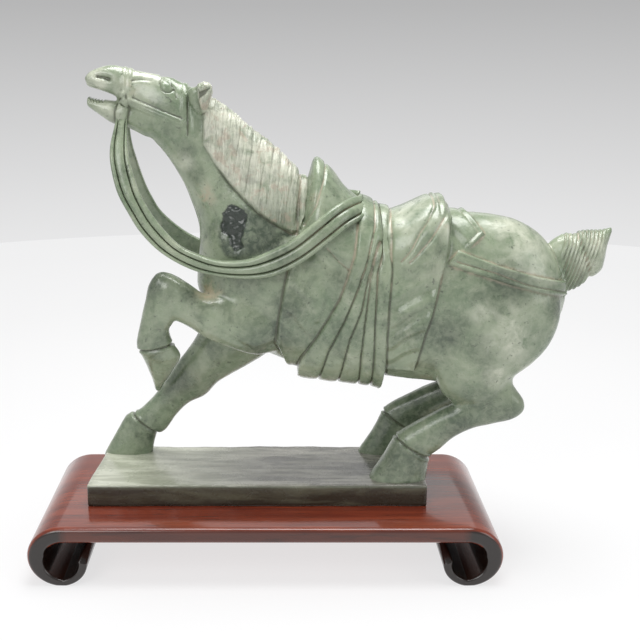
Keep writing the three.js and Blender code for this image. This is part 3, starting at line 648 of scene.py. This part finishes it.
def strap_grooves(strap_points):
    """How near each point of a strap is to a cut, from 0 to 1; 0 on its back and at its two hubs."""
    count = len(strap_points) // (face_points + back_points)
    s = np.linspace(0, 1, face_points)[None]
    t = np.linspace(0, 1, count)[:, None]
    marks = sum(bell(s, place, 0.03) for place in cut_places(t))
    return np.append(np.hstack([marks, np.zeros((count, back_points))]), [0, 0])


reins = [strap_body(rein_line), strap_body(far_line)]

# Slab: the foot of the same block, an oblong plate with sawn faces under the hooves. Its edges are a
# little uneven, and its left end is cut slightly askew.
slab_top = 72.0
slab_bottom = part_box("horse")[0].z / MM
slab_left, slab_right = -154.6, 139.9
slab_front, slab_back = -39.0, 50.6
slab_corner = 0.9
askew = 5.5
end_steps, length_steps = 6, 72
depth_steps, height_steps = 41, 9


def slab_body():
    """Oblong sections from left to right, closed by shrinking them at each end.

    The faces wave by a sum of three sines of x and y, less than a millimetre high."""
    u = np.linspace(-1, 1, depth_steps)
    w = np.linspace(-1, 1, height_steps)
    top = np.stack([u, np.ones(depth_steps)], -1)
    right = np.stack([np.ones(height_steps), -w], -1)
    loop = np.vstack([top, right[1:-1], -top, -right[1:-1]])
    middle = np.linspace(slab_left + slab_corner, slab_right - slab_corner, length_steps)
    stations = np.concatenate([[slab_left] * end_steps, middle, [slab_right] * end_steps])
    opening = np.linspace(0.02, 1, end_steps)
    shrink = np.concatenate([opening, np.ones(length_steps), np.linspace(1, 0.02, end_steps)])[:, None]
    at_end = [slab_corner] * end_steps
    inset = np.concatenate([at_end, np.zeros(length_steps), at_end])[:, None]
    half_y, half_z = (slab_back - slab_front) / 2, (slab_top - slab_bottom) / 2
    y = (slab_front + slab_back) / 2 + loop[None, :, 0] * shrink * (half_y - inset)
    z = (slab_top + slab_bottom) / 2 + loop[None, :, 1] * shrink * (half_z - inset)
    x = stations[:, None] + 0 * y
    x = x + askew * ease((y - slab_front) / (slab_back - slab_front)) * ease((-100 - x) / 54)
    wave = 0.35 * np.sin(x * 0.041 + 1) + 0.25 * np.sin(x * 0.13 + y * 0.05)
    wave = wave + 0.12 * np.sin(x * 0.37 + y * 0.21)
    y = y + wave * np.sign(loop[None, :, 0]) * (np.abs(loop[None, :, 0]) > 0.97) * shrink
    z = z + 0.5 * (wave - 0.3) * (loop[None, :, 1] > 0.97) * shrink
    return closed_skin(np.stack([x, y, z], -1))


slab = slab_body()

# The block as one piece: carving, reins and slab in one mesh, of polished grey-green stone. It has dark
# and cream clouds and tan stains, blobs of painted shade and painted highlight, painted shade in the cuts
# with tan in some, and sawn slab sides made nearly black by painted shade over dark stone.
extras = joined_mesh("extras", reins + [slab])
on_slab = np.arange(len(extras.vertices)) >= len(extras.vertices) - len(slab[0])
# The slab's sawn sides, which the material paints near black: the stone's own dark brown deepened by painted
# shade.
slab_side = np.clip((slab_top - 1.2 - mesh_points(extras)[:, 2]) / 1.5, 0, 1) * on_slab
keep_values(extras, "slab", on_slab * (1 - slab_side))
keep_values(extras, "sawn_side_shade", slab_side)
# The cuts between the strands of the reins, where the material paints shade.
grooves = [strap_grooves(strap_points) for strap_points, _ in reins]
keep_values(extras, "groove", np.concatenate(grooves + [np.zeros(len(slab[0]))]))
whole = bmesh.new()
whole.from_mesh(carving)
whole.from_mesh(extras)
whole.to_mesh(carving)
whole.free()


def shaded_smooth(mesh):
    """Smooth shading on every face."""
    mesh.polygons.foreach_set("use_smooth", np.ones(len(mesh.polygons), bool))
    mesh.update()


shaded_smooth(carving)
horse = placed("horse_carving", carving)


def cloud_group():
    """Fractal noise of Scale waves per metre at Place, made a mask: 0 below Low and Strength above High."""
    group = bpy.data.node_groups.new("cloud_mask", "ShaderNodeTree")
    group.interface.new_socket("Place", in_out="INPUT", socket_type="NodeSocketVector")
    for name in ("Scale", "Low", "High", "Strength"):
        group.interface.new_socket(name, in_out="INPUT", socket_type="NodeSocketFloat")
    group.interface.new_socket("Mask", in_out="OUTPUT", socket_type="NodeSocketFloat")
    enter = group.nodes.new("NodeGroupInput")
    leave = group.nodes.new("NodeGroupOutput")
    waves = group.nodes.new("ShaderNodeTexNoise")
    waves.inputs["Detail"].default_value = 5
    waves.inputs["Roughness"].default_value = 0.62
    waves.inputs["Distortion"].default_value = 0.5
    step = group.nodes.new("ShaderNodeMapRange")
    step.interpolation_type = "SMOOTHSTEP"
    group.links.new(enter.outputs["Place"], waves.inputs["Vector"])
    group.links.new(enter.outputs["Scale"], waves.inputs["Scale"])
    group.links.new(waves.outputs[0], step.inputs["Value"])
    group.links.new(enter.outputs["Low"], step.inputs["From Min"])
    group.links.new(enter.outputs["High"], step.inputs["From Max"])
    group.links.new(enter.outputs["Strength"], step.inputs["To Max"])
    group.links.new(step.outputs["Result"], leave.inputs["Mask"])
    return group


cloud_mask = cloud_group()


def clouds(material, place, scale, low, high, strength=1.0):
    """One mask of clouds in a material; gives its output socket."""
    node = material.node_tree.nodes.new("ShaderNodeGroup")
    node.node_tree = cloud_mask
    material.node_tree.links.new(place, node.inputs["Place"])
    for name, value in (("Scale", scale), ("Low", low), ("High", high), ("Strength", strength)):
        node.inputs[name].default_value = value
    return node.outputs["Mask"]


def tinted(material, mask, ground, colour):
    """The ground colour, a socket or plain colour, covered by another colour where the mask is."""
    node = material.node_tree.nodes.new("ShaderNodeMix")
    node.data_type = "RGBA"
    material.node_tree.links.new(mask, node.inputs[0])
    for value, socket in ((ground, node.inputs[6]), (colour, node.inputs[7])):
        if isinstance(value, tuple):
            socket.default_value = (*value, 1)
        else:
            material.node_tree.links.new(value, socket)
    return node.outputs[2]


def product(material, first, second):
    """Two masks multiplied, each a socket or a number."""
    node = material.node_tree.nodes.new("ShaderNodeMath")
    node.operation = "MULTIPLY"
    for value, socket in ((first, node.inputs[0]), (second, node.inputs[1])):
        if isinstance(value, (int, float)):
            socket.default_value = value
        else:
            material.node_tree.links.new(value, socket)
    return node.outputs[0]


def carried(material, name):
    """The value kept on the vertices under this name."""
    node = material.node_tree.nodes.new("ShaderNodeAttribute")
    node.attribute_name = name
    return node.outputs["Fac"]


def ranged(material, source, low, high):
    """0 where a value is at low, 1 where it is at high, smooth between."""
    node = material.node_tree.nodes.new("ShaderNodeMapRange")
    node.interpolation_type = "SMOOTHSTEP"
    material.node_tree.links.new(source, node.inputs["Value"])
    node.inputs["From Min"].default_value = low
    node.inputs["From Max"].default_value = high
    return node.outputs["Result"]


def stretched(material, place, scale, turn=(0, 0, 0)):
    """Places turned and scaled, so that a pattern on them is drawn out where the scale is small."""
    node = material.node_tree.nodes.new("ShaderNodeMapping")
    node.inputs["Rotation"].default_value = turn
    node.inputs["Scale"].default_value = scale
    material.node_tree.links.new(place, node.inputs["Vector"])
    return node.outputs[0]


def bumped(material, height, strength, distance):
    """A Bump node of this strength and distance in metres that reads a height."""
    node = material.node_tree.nodes.new("ShaderNodeBump")
    node.inputs["Strength"].default_value = strength
    node.inputs["Distance"].default_value = distance
    material.node_tree.links.new(height, node.inputs["Height"])
    return node


deep_green, light_green = (0.150, 0.207, 0.126), (0.292, 0.350, 0.234)
dark_cloud, pale_cloud = (0.085, 0.12, 0.072), (0.45, 0.48, 0.36)
shade_and_stain_green, highlight_cream, tan = (0.052, 0.078, 0.048), (0.62, 0.64, 0.52), (0.44, 0.36, 0.25)
mottle, speck = (0.36, 0.40, 0.29), (0.07, 0.085, 0.06)
mane_lit_cream, mane_tan, mane_grey = (0.66, 0.67, 0.55), (0.46, 0.37, 0.28), (0.17, 0.19, 0.15)
cut_shade, tan_dirt, chip_black = (0.055, 0.06, 0.032), (0.44, 0.37, 0.27), (0.018, 0.028, 0.02)
slab_cream, slab_pale = (0.42, 0.44, 0.34), (0.64, 0.66, 0.54)
slab_shadow_black, slab_shadow_grey = (0.10, 0.098, 0.082), (0.32, 0.31, 0.265)
shaded_sawn_black, shaded_sawn_green = (0.030, 0.026, 0.015), (0.095, 0.095, 0.06)
polished, worn = (0.22, 0.22, 0.22), (0.36, 0.36, 0.36)

stone = bpy.data.materials.new("green_stone")
stone.use_nodes = True
surface = stone.node_tree.nodes["Principled BSDF"]
spot = stone.node_tree.nodes.new("ShaderNodeTexCoord").outputs["Object"]
axes = stone.node_tree.nodes.new("ShaderNodeSeparateXYZ")
stone.node_tree.links.new(spot, axes.inputs[0])
colour = tinted(stone, clouds(stone, spot, 13, 0.36, 0.66), deep_green, light_green)
colour = tinted(stone, clouds(stone, spot, 38, 0.48, 0.66, 0.65), colour, dark_cloud)
colour = tinted(stone, clouds(stone, spot, 30, 0.52, 0.70, 0.6), colour, pale_cloud)
# Painted shade with the stain round the chip in dark green, painted highlights in cream, and tan stains, each
# where its kept value and its clouds meet.
for name, scale, low, high, strength, shade in (
    ("painted_shade_and_stain", 52, 0.22, 0.52, 1.0, shade_and_stain_green), ("painted_highlight", 55, 0.28, 0.64, 0.85, highlight_cream),
    ("warm", 90, 0.44, 0.60, 0.85, tan),
):
    spots = product(stone, carried(stone, name), clouds(stone, spot, scale, low, high, strength))
    colour = tinted(stone, spots, colour, shade)
fine = clouds(stone, spot, 210, 0.35, 0.68)
colour = tinted(stone, product(stone, fine, 0.35), colour, mottle)
colour = tinted(stone, clouds(stone, spot, 260, 0.60, 0.70, 0.7), colour, speck)

in_mane = carried(stone, "mane")
# Cream on the mane, more of it higher up: the stone's cream clouds with painted light on the top of the mane.
mane_lit_top = product(stone, in_mane, ranged(stone, axes.outputs["Z"], 0.275, 0.35))
for reach, scale, low, high, strength, shade in (
    (mane_lit_top, 75, 0.26, 0.56, 0.9, mane_lit_cream), (in_mane, 110, 0.52, 0.64, 0.6, mane_tan),
    (in_mane, 48, 0.52, 0.68, 0.4, mane_grey),
):
    locks = product(stone, reach, clouds(stone, spot, scale, low, high, strength))
    colour = tinted(stone, locks, colour, shade)

above_legs = ranged(stone, axes.outputs["Z"], 0.215, 0.285)
on_body = product(stone, above_legs, ranged(stone, axes.outputs["X"], -0.04, -0.01))
tan_share = product(stone, on_body, clouds(stone, spot, 60, 0.36, 0.52))
# Painted shade in the cuts and hollows: dark in most of them, and on the upper body partly the stone's tan,
# which lies in its cuts.
in_cut = product(stone, ranged(stone, carried(stone, "groove"), 0.15, 0.85), 0.72)
colour = tinted(stone, in_cut, colour, tinted(stone, tan_share, cut_shade, tan_dirt))
colour = tinted(stone, ranged(stone, carried(stone, "pitted"), 0.1, 0.8), colour, chip_black)

streak_place = stretched(stone, spot, (0.16, 1, 1))
streaks = clouds(stone, streak_place, 90, 0.38, 0.64)
# Slab top: streaked stone, pale at the left end, and from the forelegs rightwards dark with the painted
# shadow of the horse over the streaks.
left_tone = tinted(stone, streaks, slab_cream, slab_pale)
shadowed_slab_tone = tinted(stone, streaks, slab_shadow_black, slab_shadow_grey)
slab_tone = tinted(stone, ranged(stone, axes.outputs["X"], -0.17, -0.03), left_tone, shadowed_slab_tone)
colour = tinted(stone, carried(stone, "slab"), colour, slab_tone)
# Sawn sides: streaked dark brown stone with painted shade over it.
shaded_sawn_tone = tinted(stone, clouds(stone, streak_place, 60, 0.45, 0.68), shaded_sawn_black, shaded_sawn_green)
colour = tinted(stone, carried(stone, "sawn_side_shade"), colour, shaded_sawn_tone)
stone.node_tree.links.new(colour, surface.inputs["Base Color"])
dullness = tinted(stone, clouds(stone, spot, 45, 0.35, 0.7), polished, worn)
stone.node_tree.links.new(dullness, surface.inputs["Roughness"])
surface.inputs["IOR"].default_value = 1.55
surface.inputs["Coat Weight"].default_value = 0.35
surface.inputs["Coat Roughness"].default_value = 0.16
grain = bumped(stone, fine, 0.18, 0.0005)
hair_place = stretched(stone, spot, (1, 0.12, 0.05), turn=(0, 0.16, 0))
strands = product(stone, clouds(stone, hair_place, 420, 0.32, 0.68), in_mane)
hair_bump = bumped(stone, strands, 0.75, 0.0012)
stone.node_tree.links.new(grain.outputs[0], hair_bump.inputs["Normal"])
stone.node_tree.links.new(hair_bump.outputs[0], surface.inputs["Normal"])
carving.materials.clear()
carving.materials.append(stone)
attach(horse, "root")
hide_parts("horse")

# Stand: a low table of red-brown lacquered hardwood. One board rolls over at each end into a scroll
# that is its foot; the edges are rounded over and the whole is polished.
board_top = stand_high.z / MM
half_length = (stand_high.x - stand_low.x) / 2 / MM
half_depth = (stand_high.y - stand_low.y) / 2 / MM
board_wall, turn_wall, tip_wall = 13.55, 15.2, 5.6
roll_wide, roll_tall = 29.5, 26.3
curl_start, curl_end = -90, -165
ground = 0.02
edge_share = 0.62


def scroll_rows():
    """Outer and inner points of the wall, x and z of each, from the left tip to the right.

    An end is an arc of an ellipse that shrinks as it curls under, with a wall that thins towards the tip."""
    angle = np.linspace(90, curl_end, 96)
    curl = np.maximum(0, (curl_start - angle) / (curl_start - curl_end))
    over = np.clip(angle / 90, 0, 1)
    under = np.clip(-angle / 90, 0, 1)
    wall = turn_wall + (board_wall - turn_wall) * over + (tip_wall - turn_wall) * under + 2.4 * curl
    wide, tall = roll_wide - 8 * curl, roll_tall - 4.6 * curl
    centre_x, centre_z = half_length - roll_wide, board_top - roll_tall
    turn = np.radians(angle)
    outer_z = np.maximum(ground, centre_z + np.sin(turn) * tall)
    outer = np.stack([centre_x + np.cos(turn) * wide, outer_z], -1)
    inner = np.stack([centre_x + np.cos(turn) * (wide - wall), centre_z + np.sin(turn) * (tall - wall)], -1)
    half = np.hstack([outer, inner])
    flat = np.linspace(-centre_x, centre_x, 60)[1:-1, None]
    board = np.hstack([flat, flat * 0 + board_top, flat, flat * 0 + board_top - board_wall])
    mirrored = half[::-1] * (-1, 1, -1, 1)
    return np.vstack([mirrored, board, half])


def wall_body():
    """Oblong sections between the outer and inner points, as deep as the board, with rounded corners."""
    rows = scroll_rows()
    half_wall = np.hypot(rows[:, 0] - rows[:, 2], rows[:, 1] - rows[:, 3])[:, None] / 2
    radius = edge_share * half_wall
    turn = np.linspace(0, np.pi / 2, 7)
    drop, pull = 1 - np.sin(turn), 1 - np.cos(turn)
    corners = []
    for sign_y, sign_u, flip in ((1, 1, False), (1, -1, True), (-1, -1, False), (-1, 1, True)):
        step = slice(None, None, -1) if flip else slice(None)
        u = sign_u * (half_wall - radius * pull[None, step])
        y = sign_y * (half_depth - radius * drop[None, step])
        corners.append(np.stack([u, y], -1))
    loop = np.concatenate(corners, axis=1)
    across = loop[:, :, 0] / half_wall / 2
    x = (rows[:, 0] + rows[:, 2])[:, None] / 2 + (rows[:, 0] - rows[:, 2])[:, None] * across
    z = (rows[:, 1] + rows[:, 3])[:, None] / 2 + (rows[:, 1] - rows[:, 3])[:, None] * across
    return closed_skin(np.stack([x, loop[:, :, 1], z], -1))


board = joined_mesh("stand_board", [wall_body()])
shaded_smooth(board)
board_x, board_y, board_z = mesh_points(board).T
# Painted shade on the wood: darker on the side faces, more on the scrolls, and black inside the scrolls under
# the board.
face_reach = ease((np.abs(board_y) - half_depth + 1.6) / 1.2)
scroll_reach = ease((np.abs(board_x) - half_length + 34) / 8)
inside_scroll = ease((board_top - 16 - board_z) / 2) * (np.abs(board_x) < half_length - 12)
painted_wood_shade = face_reach * (0.6 + 0.4 * scroll_reach) + inside_scroll
keep_values(board, "painted_wood_shade", np.clip(painted_wood_shade, 0, 1))
stand = placed("scroll_stand", board)
red_brown, light_red = (0.15, 0.024, 0.011), (0.27, 0.05, 0.02)
pore_brown, wood_shade_black = (0.05, 0.010, 0.006), (0.012, 0.007, 0.005)
wood = bpy.data.materials.new("lacquered_wood")
wood.use_nodes = True
lacquer = wood.node_tree.nodes["Principled BSDF"]
wood_spot = wood.node_tree.nodes.new("ShaderNodeTexCoord").outputs["Object"]
grain_place = stretched(wood, wood_spot, (0.06, 1, 0.5))
tone = tinted(wood, clouds(wood, grain_place, 95, 0.32, 0.68), red_brown, light_red)
tone = tinted(wood, clouds(wood, grain_place, 420, 0.52, 0.66, 0.5), tone, pore_brown)
# The painted shade of the side faces and the scroll insides.
tone = tinted(wood, carried(wood, "painted_wood_shade"), tone, wood_shade_black)
wood.node_tree.links.new(tone, lacquer.inputs["Base Color"])
lacquer.inputs["Roughness"].default_value = 0.24
lacquer.inputs["Coat Weight"].default_value = 0.5
lacquer.inputs["Coat Roughness"].default_value = 0.08
board.materials.append(wood)
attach(stand, "root")
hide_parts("stand")

# Studio: white paper on the floor and a grey paper wall all round, which darkens upwards, under one
# broad lamp overhead with weaker ones in front and behind. The paper glows, so it keeps its tone.
def glowing(name, base, stops, source, low, high):
    """Paper of a plain base grey, whose glow follows a height or radius through greys at given stops."""
    paper = bpy.data.materials.new(name)
    paper.use_nodes = True
    sheet = paper.node_tree.nodes["Principled BSDF"]
    sheet.inputs["Base Color"].default_value = (base, base, base, 1)
    sheet.inputs["Roughness"].default_value = 1
    sheet.inputs["Specular IOR Level"].default_value = 0
    sheet.inputs["Emission Strength"].default_value = 1
    place = paper.node_tree.nodes.new("ShaderNodeTexCoord").outputs["Object"]
    measure = paper.node_tree.nodes.new("ShaderNodeVectorMath")
    measure.operation = "LENGTH" if source == "radius" else "DOT_PRODUCT"
    measure.inputs[1].default_value = (0, 0, 1)
    paper.node_tree.links.new(place, measure.inputs[0])
    scaled = paper.node_tree.nodes.new("ShaderNodeMapRange")
    scaled.inputs["From Min"].default_value = low
    scaled.inputs["From Max"].default_value = high
    paper.node_tree.links.new(measure.outputs["Value"], scaled.inputs["Value"])
    greys = paper.node_tree.nodes.new("ShaderNodeValToRGB")
    while len(greys.color_ramp.elements) < len(stops):
        greys.color_ramp.elements.new(0.5)
    for element, (position, grey) in zip(greys.color_ramp.elements, stops):
        element.position = position
        element.color = (grey, grey, grey * 1.005, 1)
    paper.node_tree.links.new(scaled.outputs["Result"], greys.inputs[0])
    paper.node_tree.links.new(greys.outputs[0], sheet.inputs["Emission Color"])
    return paper


room_radius, wall_height, glow_height = 1.6, 1.3, 0.6
wall_sides = 96
floor_greys = [(0.0, 0.70), (0.24, 0.70), (0.57, 0.68), (0.86, 0.70), (1.0, 0.72)]
wall_greys = [(0.0, 0.80), (0.125, 0.76), (0.51, 0.615), (0.86, 0.472), (1.0, 0.45)]
turn = np.linspace(0, 2 * np.pi, wall_sides + 1)[:-1]
ring = np.stack([np.cos(turn), np.sin(turn), 0 * turn], -1)
floor_mesh = bpy.data.meshes.new("floor")
floor_mesh.from_pydata((ring * (room_radius + 0.01)).tolist(), [], [list(range(wall_sides))])
floor_mesh.materials.append(glowing("white_paper", 0.24, floor_greys, "radius", 0, room_radius))
floor = placed("floor", floor_mesh)
wall_mesh = bpy.data.meshes.new("wall")
wall_points = np.vstack([ring * room_radius, ring * room_radius + (0, 0, wall_height)])
k = np.arange(wall_sides)
after = (k + 1) % wall_sides
wall_faces = np.stack([k, k + wall_sides, after + wall_sides, after], -1)
wall_mesh.from_pydata(wall_points.tolist(), [], wall_faces.tolist())
wall_mesh.materials.append(glowing("grey_paper", 0, wall_greys, "height", 0, glow_height))
wall = placed("wall", wall_mesh)
wall.visible_diffuse = False
wall.visible_shadow = False

world = bpy.data.worlds.new("surround")
bpy.context.scene.world = world
world.use_nodes = True
world.node_tree.nodes["Background"].inputs["Color"].default_value = (1, 1, 1, 1)
world.node_tree.nodes["Background"].inputs["Strength"].default_value = 0.28

for name, place, aim, size, power in (
    ("overhead", (0.05, 0.1, 1.5), (0.0, 0.0, 0.2), (0.9, 0.9), 22),
    ("front", (-0.7, -1.1, 1.0), (0.0, 0.0, 0.25), (0.8, 0.8), 8),
    ("right", (1.1, -0.7, 0.7), (0.0, 0.0, 0.25), (0.7, 0.7), 3),
    ("behind", (0.0, 1.45, 0.85), (0.0, 0.0, 0.2), (2.2, 0.5), 2.5),
):
    lamp_data = bpy.data.lights.new(name, "AREA")
    lamp_data.shape = "RECTANGLE"
    lamp_data.size, lamp_data.size_y = size
    lamp_data.energy = power
    lamp = placed(name, lamp_data)
    lamp.location = place
    dx, dy, dz = np.array(aim) - np.array(place)
    lamp.rotation_euler = (math.atan2(math.hypot(dx, dy), -dz), 0, math.atan2(dy, dx) - math.pi / 2)

# Camera: a little above the horse's ears, 0.89 m in front of the stand's middle, looking down by 15
# degrees. It was fitted to the stand's edges in a picture of 640 pixels, whose axis is at column 277.
picture_width = 640
axis_column = 277
focal_pixels = 1059.95
sensor = 36
tilt = 0.2609
camera_data = bpy.data.cameras.new("view")
camera = placed("view", camera_data)
camera.location = ((9.858 + stand_x) * MM, -0.88821, 0.44673)
camera.rotation_euler = (math.pi / 2 - tilt, 0, 0)
camera_data.sensor_width = sensor
camera_data.lens = sensor * focal_pixels / picture_width
camera_data.shift_x = (picture_width / 2 - axis_column) / picture_width
bpy.context.scene.camera = camera
bpy.context.scene.view_settings.view_transform = "Standard"
